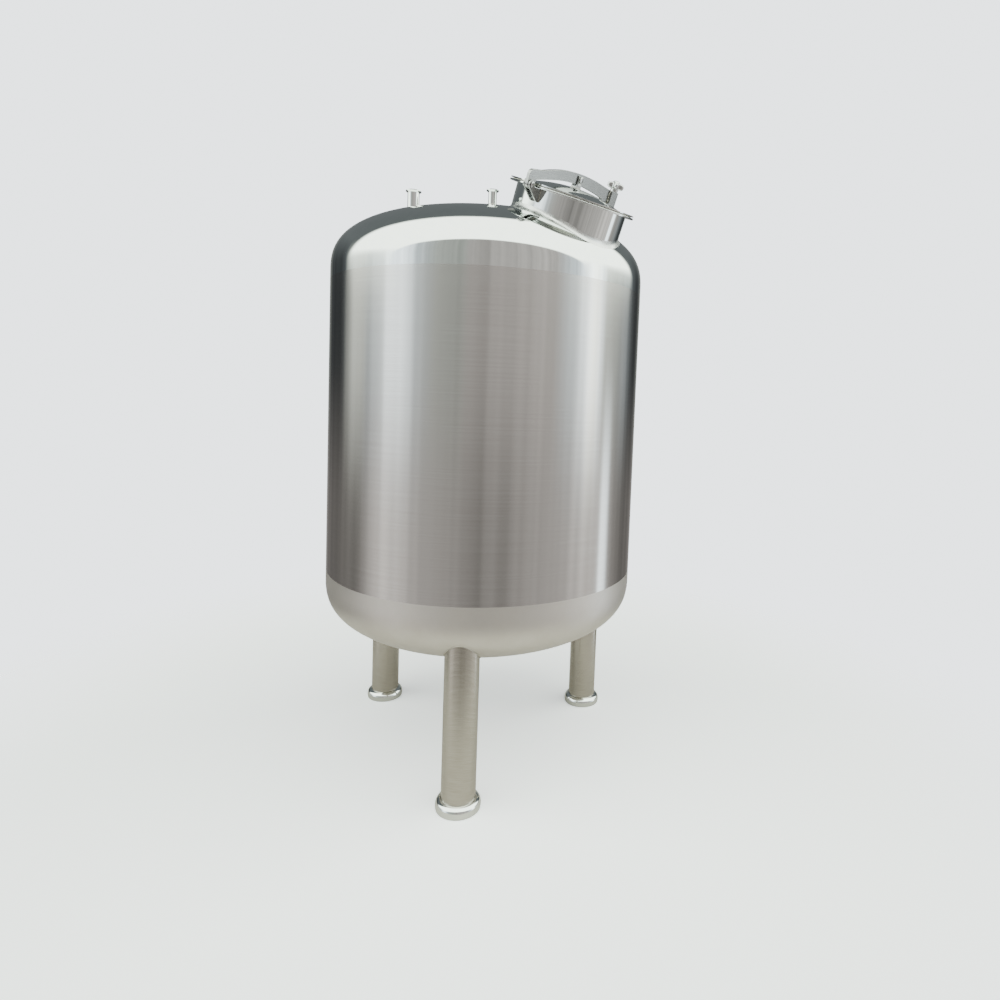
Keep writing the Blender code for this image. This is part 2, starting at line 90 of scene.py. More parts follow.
GROUND = (
    (-164, 0.120, WARM), (-148, 0.042, WARM), (-124, 0.042, WARM), (-112, 0.055, WARM),
    (-100, 0.050, WARM), (-92, 0.080, WARM), (-86, 0.150, WARM),
    (-72, 0.290, WARM), (-66, 0.210, WARM), (-56, 0.220, WARM), (-52, 0.150, WARM),
    (-22, 0.105, WARM), (-8, 0.076, WARM), (-2, 0.066, WARM), (6, 0.090, WARM), (15, 0.070, WARM),
    (24, 0.105, WARM), (58, 0.140, WARM), (78, 0.220, WARM), (94, 0.200, WARM), (97, 0.780, COOL),
    (102, 0.740, COOL), (106, 0.120, WARM), (118, 0.065, WARM), (128, 0.042, WARM),
    (148, 0.042, WARM), (164, 0.120, WARM))
HORIZON = (-0.16, 0.03)
STREAK_DEGREES = 5.0
STREAK_DEPTH = 0.16
CEILING_COLOUR = "#f4fcf1"
CEILING_LEAN = 60.0
CEILING_LOWEST = (9.0, 15.0)
CEILING_EDGE = 1.2
SCREEN_COLOUR = "#d3dcde"
SCREEN_LEVEL = 0.053
SCREEN_RISE = (9.0, 25.0)
SCREEN_AZIMUTH = -174.0
SCREEN_ELEVATION = 26.0
SCREEN_REACH = 58.0
SCREEN_EDGE = 3.5


def linear(hex_colour, level=1.0):
    """An sRGB hex colour as the linear colour that a socket takes, with full alpha."""
    parts = [int(hex_colour[k:k + 2], 16) / 255 for k in (1, 3, 5)]
    flat = [p / 12.92 if p <= 0.04045 else ((p + 0.055) / 1.055) ** 2.4 for p in parts]
    return (*[p * level for p in flat], 1.0)


def add(tree, kind, feeds=None, **settings):
    """Adds a node: settings are its own properties, feeds give each socket a value or a link."""
    made = tree.nodes.new(kind)
    for name, value in settings.items():
        setattr(made, name, value)
    for socket, value in (feeds or {}).items():
        if isinstance(value, bpy.types.NodeSocket):
            tree.links.new(value, made.inputs[socket])
        else:
            made.inputs[socket].default_value = value
    return made


def light_world():
    world = bpy.data.worlds.new("soft studio light")
    bpy.context.scene.world = world
    world.use_nodes = True
    sky = world.node_tree
    sky.nodes.clear()
    toward = add(sky, "ShaderNodeTexCoord").outputs["Generated"]
    part = add(sky, "ShaderNodeSeparateXYZ", {"Vector": toward})
    front = add(sky, "ShaderNodeMath", {0: part.outputs["Y"], 1: -1.0}, operation="MULTIPLY")
    azimuth = add(sky, "ShaderNodeMath", {0: part.outputs["X"], 1: front.outputs[0]},
                  operation="ARCTAN2")
    turn = add(sky, "ShaderNodeMapRange", {"Value": azimuth.outputs[0], "From Min": -math.pi,
                                           "From Max": math.pi})
    ring = []
    for lights in (WALLS, GROUND):
        ramp = add(sky, "ShaderNodeValToRGB", {"Fac": turn.outputs[0]})
        stops = ramp.color_ramp.elements
        while len(stops) < len(lights):
            stops.new(0.5)
        for stop, (degrees, level, tint) in zip(stops, lights):
            stop.position = (degrees + 180) / 360
            stop.color = linear(tint, level)
        ring.append(ramp.outputs["Color"])
    streak = add(sky, "ShaderNodeTexNoise", {"W": azimuth.outputs[0], "Detail": 3.0,
                                             "Scale": 1 / math.radians(STREAK_DEGREES)},
                 noise_dimensions="1D")
    uneven = add(sky, "ShaderNodeMapRange", {"Value": streak.outputs[0], "From Min": 0.3,
                                             "From Max": 0.7, "To Min": 1.0 - STREAK_DEPTH,
                                             "To Max": 1.0 + STREAK_DEPTH})
    above = add(sky, "ShaderNodeMapRange", {"Value": part.outputs["Z"], "From Min": HORIZON[0],
                                            "From Max": HORIZON[1]})
    plain = add(sky, "ShaderNodeMixRGB", {"Fac": above.outputs[0], "Color1": ring[1],
                                          "Color2": ring[0]})
    room = add(sky, "ShaderNodeVectorMath", {0: plain.outputs["Color"], "Scale": uneven.outputs[0]},
               operation="SCALE")
    raised = [math.sin(math.radians(e)) for e in CEILING_LOWEST]
    clear_of_walls = add(sky, "ShaderNodeMapRange", {"Value": part.outputs["Z"],
                                                     "From Min": raised[0], "From Max": raised[1]})
    patches = []
    for azimuth_of, elevation, reach, edge in (
            (180.0, CEILING_LEAN, 90.0, CEILING_EDGE),
            (SCREEN_AZIMUTH, SCREEN_ELEVATION, SCREEN_REACH, SCREEN_EDGE)):
        turned_by, lean = math.radians(azimuth_of), math.radians(elevation)
        middle = (math.sin(turned_by) * math.cos(lean), -math.cos(turned_by) * math.cos(lean),
                  math.sin(lean))
        facing = add(sky, "ShaderNodeVectorMath", {0: toward, 1: middle}, operation="DOT_PRODUCT")
        ends = [math.cos(math.radians(reach + side * edge)) for side in (1, -1)]
        patches.append(add(sky, "ShaderNodeMapRange", {"Value": facing.outputs["Value"],
                                                       "From Min": ends[0], "From Max": ends[1]},
                           interpolation_type="SMOOTHSTEP").outputs[0])
    high = add(sky, "ShaderNodeMath", {0: patches[0], 1: clear_of_walls.outputs[0]},
               operation="MULTIPLY")
    ceiling = add(sky, "ShaderNodeMixRGB", {"Fac": high.outputs[0],
                                            "Color1": room.outputs["Vector"],
                                            "Color2": linear(CEILING_COLOUR)})
    foot_and_top = [math.sin(math.radians(e)) for e in SCREEN_RISE]
    risen = add(sky, "ShaderNodeMapRange", {"Value": part.outputs["Z"],
                                            "From Min": foot_and_top[0],
                                            "From Max": foot_and_top[1]})
    screen = add(sky, "ShaderNodeMixRGB", {"Fac": risen.outputs[0],
                                           "Color1": room.outputs["Vector"],
                                           "Color2": linear(SCREEN_COLOUR, SCREEN_LEVEL)})
    lit = add(sky, "ShaderNodeMixRGB", {"Fac": patches[1], "Color1": ceiling.outputs["Color"],
                                        "Color2": screen.outputs["Color"]})
    light = add(sky, "ShaderNodeBackground", {"Color": lit.outputs["Color"],
                                              "Strength": LIGHT_LEVEL})
    paper = add(sky, "ShaderNodeBackground", {"Color": linear(PAPER), "Strength": PAPER_LEVEL})
    ray = add(sky, "ShaderNodeLightPath").outputs["Is Camera Ray"]
    shown = add(sky, "ShaderNodeMixShader", {0: ray, 1: light.outputs[0], 2: paper.outputs[0]})
    add(sky, "ShaderNodeOutputWorld", {"Surface": shown.outputs[0]})


light_world()


# Floor. A round sheet of pale matt paper under the tank. It thins out well before its edge, so the
# picture has no horizon line.
FLOOR_R = 2.6
FLOOR_SHOWN = (1.3, 2.5)
FLOOR_MIRRORED = (0.8, 1.6)
FLOOR_DROP = 0.0004
FLOOR_COLOUR = "#eef0f1"
FLOOR_GLOW = 0.55
FLOOR_MIRRORED_COLOUR = "#b3afa8"


def paper_material():
    """Matt white paper. Steel would mirror it too brightly, so steel sees a small grey sheet."""
    made = bpy.data.materials.new("pale matt paper")
    made.use_nodes = True
    tree = made.node_tree
    tree.nodes.clear()
    spot = add(tree, "ShaderNodeTexCoord").outputs["Object"]
    away = add(tree, "ShaderNodeVectorMath", {0: spot}, operation="LENGTH")
    shown, mirrored = [add(tree, "ShaderNodeMapRange", {"Value": away.outputs["Value"],
                                                        "From Min": start, "From Max": end},
                           interpolation_type="SMOOTHSTEP")
                       for start, end in (FLOOR_SHOWN, FLOOR_MIRRORED)]
    pulp = add(tree, "ShaderNodeTexNoise", {"Vector": spot, "Scale": 900.0})
    grain = add(tree, "ShaderNodeBump", {"Height": pulp.outputs[0], "Strength": 0.1,
                                         "Distance": 0.0002})
    ray = add(tree, "ShaderNodeLightPath").outputs["Is Camera Ray"]
    white = add(tree, "ShaderNodeBsdfDiffuse", {"Color": linear(FLOOR_COLOUR),
                                                "Normal": grain.outputs[0]})
    glow = add(tree, "ShaderNodeEmission", {"Color": linear(PAPER), "Strength": FLOOR_GLOW})
    lit = add(tree, "ShaderNodeAddShader", {0: white.outputs[0], 1: glow.outputs[0]})
    grey = add(tree, "ShaderNodeBsdfDiffuse", {"Color": linear(FLOOR_MIRRORED_COLOUR)})
    clear = add(tree, "ShaderNodeBsdfTransparent")
    near, far = [add(tree, "ShaderNodeMixShader", {0: gone.outputs[0], 1: sheet.outputs[0],
                                                   2: clear.outputs[0]})
                 for gone, sheet in ((shown, lit), (mirrored, grey))]
    mixed = add(tree, "ShaderNodeMixShader", {0: ray, 1: far.outputs[0], 2: near.outputs[0]})
    add(tree, "ShaderNodeOutputMaterial", {"Surface": mixed.outputs[0]})
    return made


disc = bmesh.new()
bmesh.ops.create_circle(disc, cap_ends=True, segments=96, radius=FLOOR_R,
                        matrix=Matrix.Translation((0.0, 0.0, -FLOOR_DROP)))
floor_mesh = bpy.data.meshes.new("floor")
disc.to_mesh(floor_mesh)
disc.free()
floor_mesh.materials.append(paper_material())
floor = bpy.data.objects.new("floor", floor_mesh)
bpy.context.scene.collection.objects.link(floor)


# Shell. One course of 4 mm stainless sheet rolled to 1108 mm across, its girth welds ground flush.
# A belt has brushed it all round, so reflections are sharp sideways and smeared up and down.
TANK_R = 0.554
WALL = 0.004
WELD_LOW_Z = 0.657
WELD_HIGH_Z = 1.650
SEAM = 0.0003
ROUND = 256
BRUSHED_COLOUR = ("#c6c4c1", "#cbcac7")
BRUSH_LINE = 0.0045
BRUSH_RUN = 0.35
ROLL_PER_METRE = (0.9, 11.0, 1.0)


def turned(profile, segments):
    """Rings of points for (radius, height) pairs turned about Z; radius 0 gives one point."""
    rings = []
    for radius, height in profile:
        count = segments if radius > 0 else 1
        steps = [math.tau * k / count for k in range(count)]
        rings.append([Vector((radius * math.cos(a), radius * math.sin(a), height)) for a in steps])
    return rings


def skin(name, rings, material, loop=True, sharp=35.0, place=None):
    """A closed surface through rings of points; loop joins the last ring to the first.

    Its UV map is in metres, U along the section and V around it.
    """
    bm = bmesh.new()
    layer = bm.loops.layers.uv.new("surface")
    rows = [[bm.verts.new(point) for point in ring] for ring in rings]
    widest = max(rings, key=lambda ring: sum((a - b).length for a, b in zip(ring, ring[1:])))
    girth = sum((a - b).length for a, b in zip(widest, widest[1:] + widest[:1]))
    pairs = list(zip(rows, rows[1:])) + ([(rows[-1], rows[0])] if loop else [])
    low_u = 0.0
    for lower, upper in pairs:
        high_u = low_u + (lower[0].co - upper[0].co).length
        count = max(len(lower), len(upper))
        for k in range(count if count > 1 else 0):
            corners = []
            for row, step, u in ((lower, k, low_u), (lower, k + 1, low_u), (upper, k + 1, high_u),
                                 (upper, k, high_u)):
                vert = row[step % len(row)]
                if vert not in [c[0] for c in corners]:
                    corners.append((vert, u, girth * step / count))
            face = bm.faces.new([c[0] for c in corners])
            for corner, (_, u, v) in zip(face.loops, corners):
                corner[layer].uv = (u, v)
        low_u = high_u
    bmesh.ops.recalc_face_normals(bm, faces=bm.faces)
    if place:
        bm.transform(place)
    return show(name, bm, material, sharp)


def show(name, bm, material, sharp=35.0):
    mesh = bpy.data.meshes.new(name)
    bm.to_mesh(mesh)
    bm.free()
    mesh.shade_smooth()
    mesh.set_sharp_from_angle(angle=math.radians(sharp))
    mesh.materials.append(material)
    piece = bpy.data.objects.new(name, mesh)
    bpy.context.scene.collection.objects.link(piece)
    return piece


def fit(piece, body, slot, *nodes):
    """The piece rides on its body and stands for its CAD nodes, which it hides; slot is not used.
    """
    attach(piece, body)
    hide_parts(*nodes)
    return piece


def brushed_stainless(name, colours, rough, smear, line=BRUSH_LINE, run=BRUSH_RUN, wave=0.0):
    """Belt-brushed 304 sheet: fine lines run along V, so highlights spread out along U.

    Grit 240 leaves lines near 0.1 mm apart; they are drawn at the line size so that they show.
    """
    made = bpy.data.materials.new(name)
    made.use_nodes = True
    tree = made.node_tree
    steel = tree.nodes["Principled BSDF"]
    spot = add(tree, "ShaderNodeUVMap", uv_map="surface").outputs["UV"]
    combed = add(tree, "ShaderNodeMapping", {"Vector": spot, "Scale": (1 / line, 1 / run, 1.0)})
    grit = add(tree, "ShaderNodeTexNoise", {"Vector": combed.outputs[0], "Scale": 1.0,
                                            "Detail": 4.0, "Roughness": 0.6})
    slow = add(tree, "ShaderNodeMapping", {"Vector": spot, "Scale": ROLL_PER_METRE})
    roll = add(tree, "ShaderNodeTexNoise", {"Vector": slow.outputs[0], "Scale": 1.0, "Detail": 2.0})
    tint = add(tree, "ShaderNodeMapRange", {"Value": grit.outputs[0], "From Min": 0.35,
                                            "From Max": 0.65})
    paint = add(tree, "ShaderNodeMixRGB", {"Fac": tint.outputs[0], "Color1": linear(colours[0]),
                                           "Color2": linear(colours[1])})
    gloss = add(tree, "ShaderNodeMapRange", {"Value": grit.outputs[0], "From Min": 0.3,
                                             "From Max": 0.7, "To Min": rough - 0.002,
                                             "To Max": rough + 0.002})
    rolled = add(tree, "ShaderNodeBump", {"Height": roll.outputs[0], "Strength": 1.0,
                                          "Distance": wave})
    lay = add(tree, "ShaderNodeTangent", direction_type="UV_MAP", uv_map="surface")
    steel.inputs["Metallic"].default_value = 1.0
    steel.inputs["Anisotropic"].default_value = smear
    for socket, feed in (("Base Color", paint), ("Roughness", gloss), ("Normal", rolled),
                         ("Tangent", lay)):
        tree.links.new(feed.outputs[0], steel.inputs[socket])
    return made


shell_steel = brushed_stainless("brushed stainless sheet", BRUSHED_COLOUR, 0.16, 0.78, wave=0.0003)
shell_profile = [(TANK_R, WELD_LOW_Z), (TANK_R, WELD_HIGH_Z), (TANK_R - WALL, WELD_HIGH_Z),
                 (TANK_R - WALL, WELD_LOW_Z)]
shell = skin("shell_brushed", turned(shell_profile, ROUND), shell_steel)
fit(shell, "tank", "shell_brushed_stainless", "shell")


# Heads. Dished ends pressed from 4 mm sheet and butt welded to the shell. The top one is buffed to
# a mirror and shows the lights; the lower one is a satin that shows the floor as a soft warm grey.
FLANGE_H = 0.031
DISH_H = 0.2245
DISH_POWER = 2.67
DISH_RINGS = 80
FLANGE_STEP = 0.6
RIM_CROWDING = 1.3
MIRROR_COLOUR = ("#d9dedb", "#e6e9e7")
OFF_CURVE = 0.0006
RIM_BAND = 0.0004
SATIN_COLOUR = ("#ccc7c0", "#d3cfc9")


def head_rise(radius, extra=0.0):
    """Height of a head's surface above its open edge, at this distance from the tank's axis."""
    share = max(0.0, 1 - (radius / (TANK_R + extra)) ** DISH_POWER)
    return FLANGE_H + (DISH_H + extra) * share ** (1 / DISH_POWER)


def head_section(extra, rings):
    radius, points = TANK_R + extra, [(TANK_R + extra, 0.0)]
    points.append((radius, FLANGE_H * FLANGE_STEP))
    for k in range(rings):
        turn = math.pi / 2 * (k / rings) ** RIM_CROWDING
        reach = radius * math.cos(turn) ** (2 / DISH_POWER)
        points.append((reach, FLANGE_H + (DISH_H + extra) * math.sin(turn) ** (2 / DISH_POWER)))
    return points + [(0.0, FLANGE_H + DISH_H + extra)]


def mirror_stainless(name, colours=MIRROR_COLOUR, rough=0.035, wave=0.0003):
    """Buffed 304: a near mirror whose faint waves and polishing haze bend what it shows."""
    made = bpy.data.materials.new(name)
    made.use_nodes = True
    tree = made.node_tree
    steel = tree.nodes["Principled BSDF"]
    spot = add(tree, "ShaderNodeTexCoord").outputs["Object"]
    haze = add(tree, "ShaderNodeTexNoise", {"Vector": spot, "Scale": 45.0, "Detail": 5.0})
    swell = add(tree, "ShaderNodeTexNoise", {"Vector": spot, "Scale": 9.0, "Detail": 1.0})
    paint = add(tree, "ShaderNodeMixRGB", {"Fac": haze.outputs[0], "Color1": linear(colours[0]),
                                           "Color2": linear(colours[1])})
    gloss = add(tree, "ShaderNodeMapRange", {"Value": haze.outputs[0], "From Min": 0.35,
                                             "From Max": 0.7, "To Min": rough * 0.7,
                                             "To Max": rough * 1.6})
    bent = add(tree, "ShaderNodeBump", {"Height": swell.outputs[0], "Strength": 1.0,
                                        "Distance": wave})
    steel.inputs["Metallic"].default_value = 1.0
    for socket, feed in (("Base Color", paint), ("Roughness", gloss), ("Normal", bent)):
        tree.links.new(feed.outputs[0], steel.inputs[socket])
    return made


def satin_stainless(name, colours=SATIN_COLOUR, rough=0.42):
    """Ground and blasted 304: soft reflections, with cloudy patches a few centimetres across."""
    made = bpy.data.materials.new(name)
    made.use_nodes = True
    tree = made.node_tree
    steel = tree.nodes["Principled BSDF"]
    spot = add(tree, "ShaderNodeTexCoord").outputs["Object"]
    cloud = add(tree, "ShaderNodeTexNoise", {"Vector": spot, "Scale": 14.0, "Detail": 6.0,
                                             "Roughness": 0.62})
    grit = add(tree, "ShaderNodeTexNoise", {"Vector": spot, "Scale": 700.0, "Detail": 2.0})
    tint = add(tree, "ShaderNodeMapRange", {"Value": cloud.outputs[0], "From Min": 0.3,
                                            "From Max": 0.7})
    paint = add(tree, "ShaderNodeMixRGB", {"Fac": tint.outputs[0], "Color1": linear(colours[0]),
                                           "Color2": linear(colours[1])})
    gloss = add(tree, "ShaderNodeMapRange", {"Value": cloud.outputs[0], "From Min": 0.3,
                                             "From Max": 0.7, "To Min": rough + 0.03,
                                             "To Max": rough - 0.03})
    pitted = add(tree, "ShaderNodeBump", {"Height": grit.outputs[0], "Strength": 0.02,
                                          "Distance": 0.00005})
    steel.inputs["Metallic"].default_value = 1.0
    for socket, feed in (("Base Color", paint), ("Roughness", gloss), ("Normal", pitted)):
        tree.links.new(feed.outputs[0], steel.inputs[socket])
    return made


def cut(piece, *cutters):
    """Takes each cutter's volume out of a piece with the exact solver, then removes the cutter."""
    for cutter in cutters:
        step = piece.modifiers.new("cut", "BOOLEAN")
        step.solver = "EXACT"
        step.object = cutter
        settle(piece)
        bpy.data.objects.remove(cutter, do_unlink=True)


def settle(piece):
    bpy.context.view_layer.update()
    solved = piece.evaluated_get(bpy.context.evaluated_depsgraph_get())
    piece.data = bpy.data.meshes.new_from_object(solved)
    piece.modifiers.clear()


def true_normals(piece, base_z, up):
    """Gives a head's outer face the exact normals of its curve, so that it mirrors cleanly."""
    mesh = piece.data
    wanted = [(0.0, 0.0, 0.0)] * len(mesh.loops)
    for face in mesh.polygons:
        spots = [mesh.vertices[mesh.loops[k].vertex_index].co for k in face.loop_indices]
        rises = [up * (p.z - base_z) for p in spots]
        reaches = [math.hypot(p.x, p.y) for p in spots]
        if any(abs(rise - head_rise(reach)) > OFF_CURVE and reach < TANK_R - RIM_BAND
               for rise, reach in zip(rises, reaches)):
            continue
        for k, p, rise, reach in zip(face.loop_indices, spots, rises, reaches):
            side = (min(reach, TANK_R) / TANK_R) ** (DISH_POWER - 1) / TANK_R
            lift = (max(rise - FLANGE_H, 0.0) / DISH_H) ** (DISH_POWER - 1) / DISH_H
            out = Vector((p.x, p.y, 0.0)).normalized() * side + UP * (lift * up)
            wanted[k] = tuple(out.normalized())
    mesh.normals_split_custom_set(wanted)


def head(name, base_z, up, material, *cutters):
    section = head_section(0.0, DISH_RINGS) + list(reversed(head_section(-WALL, DISH_RINGS // 3)))
    made = skin(name, turned([(r, base_z + up * h) for r, h in section], ROUND), material)
    cut(made, *cutters)
    true_normals(made, base_z, up)
    return made


def plug(radius, low, high, place, segments=64):
    """A round cutter along the placed frame's Z."""
    profile = [(0.0, low), (radius, low), (radius, high), (0.0, high)]
    return skin("cutter", turned(profile, segments), shell_steel, loop=False, place=place)


MANHOLE_AZIMUTH = -51.5
MANHOLE_TILT = 22.0
MANHOLE_RADIUS = 0.388
ARM_TURN = 11.0
RIM_ABOVE_DOME = 0.060
NECK_R = 0.1825
NECK_CUT = (-0.18, 0.05)
PORT_CUT = (1.7, 2.0)
OUTLET_CUT = (0.3, 0.5)
PORTS = (
    # name, x, y, tube radius, bore radius, flange radius, height above the head
    ("vent_ferrule", -0.257, -0.222, 0.0190, 0.0175, 0.02525, 0.057),
    ("spray_ferrule", 0.0, -0.343, 0.0130, 0.0115, 0.0195, 0.043),
    ("outlet_ferrule", 0.0, 0.0, 0.0190, 0.0175, 0.02525, 0.046))


def manhole_frame():
    """X along the cover's arm from hinge to clamp, Y up the dome, Z out of the neck."""
    azimuth, tilt = math.radians(MANHOLE_AZIMUTH), math.radians(MANHOLE_TILT)
    beside = Vector((math.cos(azimuth), math.sin(azimuth), 0.0))
    out = beside * math.sin(tilt) + UP * math.cos(tilt)
    along = Vector((-math.sin(azimuth), math.cos(azimuth), 0.0))
    foot = beside * MANHOLE_RADIUS + UP * (WELD_HIGH_Z + SEAM + head_rise(MANHOLE_RADIUS))
    turn = Matrix((along, out.cross(along), out)).transposed().to_4x4()
    centre = Matrix.Translation(foot + out * RIM_ABOVE_DOME)
    return centre @ turn @ Matrix.Rotation(math.radians(ARM_TURN), 4, "Z")


manhole = manhole_frame()
mirror_steel = mirror_stainless("mirror-polished stainless")
satin_steel = satin_stainless("satin-ground stainless")
bores = [plug(bore_r, *PORT_CUT, Matrix.Translation((x, y, 0.0)))
         for name, x, y, _, bore_r, _, _ in PORTS[:2]]
top_head = head("top_head_mirror", WELD_HIGH_Z, 1, mirror_steel,
                plug(NECK_R, *NECK_CUT, manhole, 128), *bores)
fit(top_head, "tank", "mirror_stainless", "top_head")
bottom_head = head("bottom_head_satin", WELD_LOW_Z, -1, satin_steel,
                   plug(PORTS[2][4], *OUTLET_CUT, Matrix()))
fit(bottom_head, "tank", "satin_stainless", "bottom_head")


# Legs. Three lengths of 108 mm stainless pipe with a 3 mm wall, coped to the lower head and welded
# to it all round. Each stands on a round plate inside a spun bell that covers the floor anchor.
LEG_CIRCLE_R = 0.4785
LEGS = {"front": -96.0, "right": 24.0, "left": 144.0}
LEG_R = 0.054
LEG_WALL = 0.003
LEG_FOOT_Z = 0.0083
LEG_ROUND = 96
LEG_COLOUR = ("#a8a399", "#b6b2a9")
BELL_SHEET = 0.0015
BELL_PROFILE = ((0.0543, 0.0340), (0.0600, 0.0322), (0.0662, 0.0272), (0.0700, 0.0190),
                (0.0708, 0.0100), (0.0692, 0.0003))
leg_feet = {name: Vector((LEG_CIRCLE_R * math.cos(math.radians(a)),
                          LEG_CIRCLE_R * math.sin(math.radians(a)), 0.0))
            for name, a in LEGS.items()}


def eased(points, steps):
    """A smooth line through a few points, steps pieces to each gap."""
    points = [Vector(p) for p in points]
    padded = [points[0] * 2 - points[1]] + points + [points[-1] * 2 - points[-2]]
    line = []
    for a, b, c, d in zip(padded, padded[1:], padded[2:], padded[3:]):
        for k in range(steps):
            t = k / steps
            line.append(0.5 * (2 * b + (c - a) * t + (2 * a - 5 * b + 4 * c - d) * t ** 2
                               + (3 * b - a - 3 * c + d) * t ** 3))
    return line + [points[-1]]


def coped(x, y, profile, segments, base_z, up):
    """Rings for a pipe that ends on a head: a height of None in the profile means the head."""
    rings = []
    for radius, height in profile:
        ring = []
        for k in range(segments):
            angle = math.tau * k / segments
            px, py = x + radius * math.cos(angle), y + radius * math.sin(angle)
            z = base_z + up * head_rise(math.hypot(px, py)) if height is None else height
            ring.append(Vector((px, py, z)))
        rings.append(ring)
    return rings


leg_steel = brushed_stainless("ground stainless pipe", LEG_COLOUR, 0.27, 0.5, line=0.003, run=0.06,
                              wave=0.0002)
for name, foot in leg_feet.items():
    wall = [(LEG_R, LEG_FOOT_Z), (LEG_R, None), (LEG_R - LEG_WALL, None),
            (LEG_R - LEG_WALL, LEG_FOOT_Z)]
    pipe = coped(foot.x, foot.y, wall, LEG_ROUND, WELD_LOW_Z, -1)
    leg = skin("leg_pipe_" + name, pipe, leg_steel)
    fit(leg, "tank", "satin_stainless", "leg_" + name)
    outer = [tuple(p) for p in eased(BELL_PROFILE, 5)]
    inner = [(r - BELL_SHEET, max(z - BELL_SHEET, BELL_PROFILE[-1][1])) for r, z in outer[1:]]
    inner = [(BELL_PROFILE[0][0], BELL_PROFILE[0][1] - BELL_SHEET)] + inner
    bell = skin("foot_bell_" + name, turned(outer + inner[::-1], LEG_ROUND), mirror_steel,
                place=Matrix.Translation(foot))
    fit(bell, "tank", "mirror_stainless", "foot_cover_" + name)
    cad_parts["foot_plate_" + name].data.materials[0] = satin_steel


# Ferrules. Clamp ferrules turned from tube: a flared flange with a sloped back and a gasket groove
# in its face. A vent and a spray port stand on the top head, an outlet hangs under the lower one.
FLANGE_T = 0.0029
FLARE_H = 0.0035
GROOVE_W = 0.0030
GROOVE_DEPTH = 0.0009
FLANGE_EDGE = 0.0006
BORE_EDGE = 0.0004
port_feet = {}
for name, x, y, tube_r, bore_r, flange_r, height in PORTS:
    up = -1 if name == "outlet_ferrule" else 1
    base_z = WELD_LOW_Z if up < 0 else WELD_HIGH_Z
    top = head_rise(math.hypot(x, y)) + height
    groove = (tube_r + flange_r) / 2 - 0.0005
    back, flare = top - FLANGE_T, top - FLANGE_T - FLARE_H
    rise = [(tube_r, flare - 0.004), (tube_r + 0.0002, flare), (tube_r + 0.0012, flare + 0.0012),
            (flange_r - FLANGE_EDGE, back), (flange_r, back + FLANGE_EDGE),
            (flange_r, top - FLANGE_EDGE), (flange_r - FLANGE_EDGE, top),
            (groove + GROOVE_W / 2, top), (groove + GROOVE_W / 4, top - GROOVE_DEPTH),
            (groove - GROOVE_W / 4, top - GROOVE_DEPTH), (groove - GROOVE_W / 2, top),
            (bore_r + BORE_EDGE, top), (bore_r, top - BORE_EDGE)]
    profile = [(tube_r, None)] + [(r, base_z + up * z) for r, z in rise] + [(bore_r, None)]
    port = skin(name + "_turned", coped(x, y, profile, 72, base_z, up), mirror_steel, sharp=28.0)
    fit(port, "tank", "mirror_stainless", name)
    port_feet[name] = (Vector((x, y, 0.0)), tube_r, base_z, up)


# Manhole neck. A short mirror tube set square into the dome, with a smoothly ground collar of weld
# at its foot and a flat welded rim that the cover's gasket closes on.
NECK_WALL = 0.004
NECK_INSIDE = 0.004
RIM_R = 0.207
RIM_T = 0.006
RIM_EDGE = 0.0012
COLLAR = 0.014
COLLAR_SUNK = 0.0008
COLLAR_ROOT = 0.001
COLLAR_STEPS = 8
MANHOLE_ROUND = 128


def dome_foot(radius, angle, extra=0.0):
    """Where a line along the neck's axis meets the top head, as a height in the manhole's frame."""
    low, high = -0.2, 0.0
    for _ in range(30):
        middle = (low + high) / 2
        spot = manhole @ Vector((radius * math.cos(angle), radius * math.sin(angle), middle))
        reach = math.hypot(spot.x, spot.y)
        inside = reach < TANK_R + extra and spot.z < WELD_HIGH_Z + head_rise(reach, extra)
        low, high = (middle, high) if inside else (low, middle)
    return low


def softened(outline, cut_back, steps=3):
    """Rounds every corner of a closed outline of (a, b) pairs."""
    corners = [Vector(p) for p in outline]
    line = []
    for k, here in enumerate(corners):
        before, after = corners[k - 1] - here, corners[(k + 1) % len(corners)] - here
        start = here + before.normalized() * min(cut_back, before.length * 0.45)
        end = here + after.normalized() * min(cut_back, after.length * 0.45)
        for step in range(steps + 1):
            t = step / steps
            line.append(start * (1 - t) ** 2 + here * (2 * t * (1 - t)) + end * t ** 2)
    return line


turns = [math.tau * k / MANHOLE_ROUND for k in range(MANHOLE_ROUND)]
neck_inner_r = NECK_R - NECK_WALL
neck_wall = [(NECK_R, 0.0), (NECK_R, -RIM_T), (neck_inner_r, -RIM_T), (neck_inner_r, 0.0)]
rings = []
for radius, height in neck_wall:
    ends = [dome_foot(radius, a, -WALL - NECK_INSIDE) if height == 0.0 else height for a in turns]
    rings.append([Vector((radius * math.cos(a), radius * math.sin(a), z))
                  for a, z in zip(turns, ends)])
neck = skin("manhole_neck_tube", rings, mirror_steel, place=manhole)
fit(neck, "tank", "mirror_stainless", "manhole_neck")

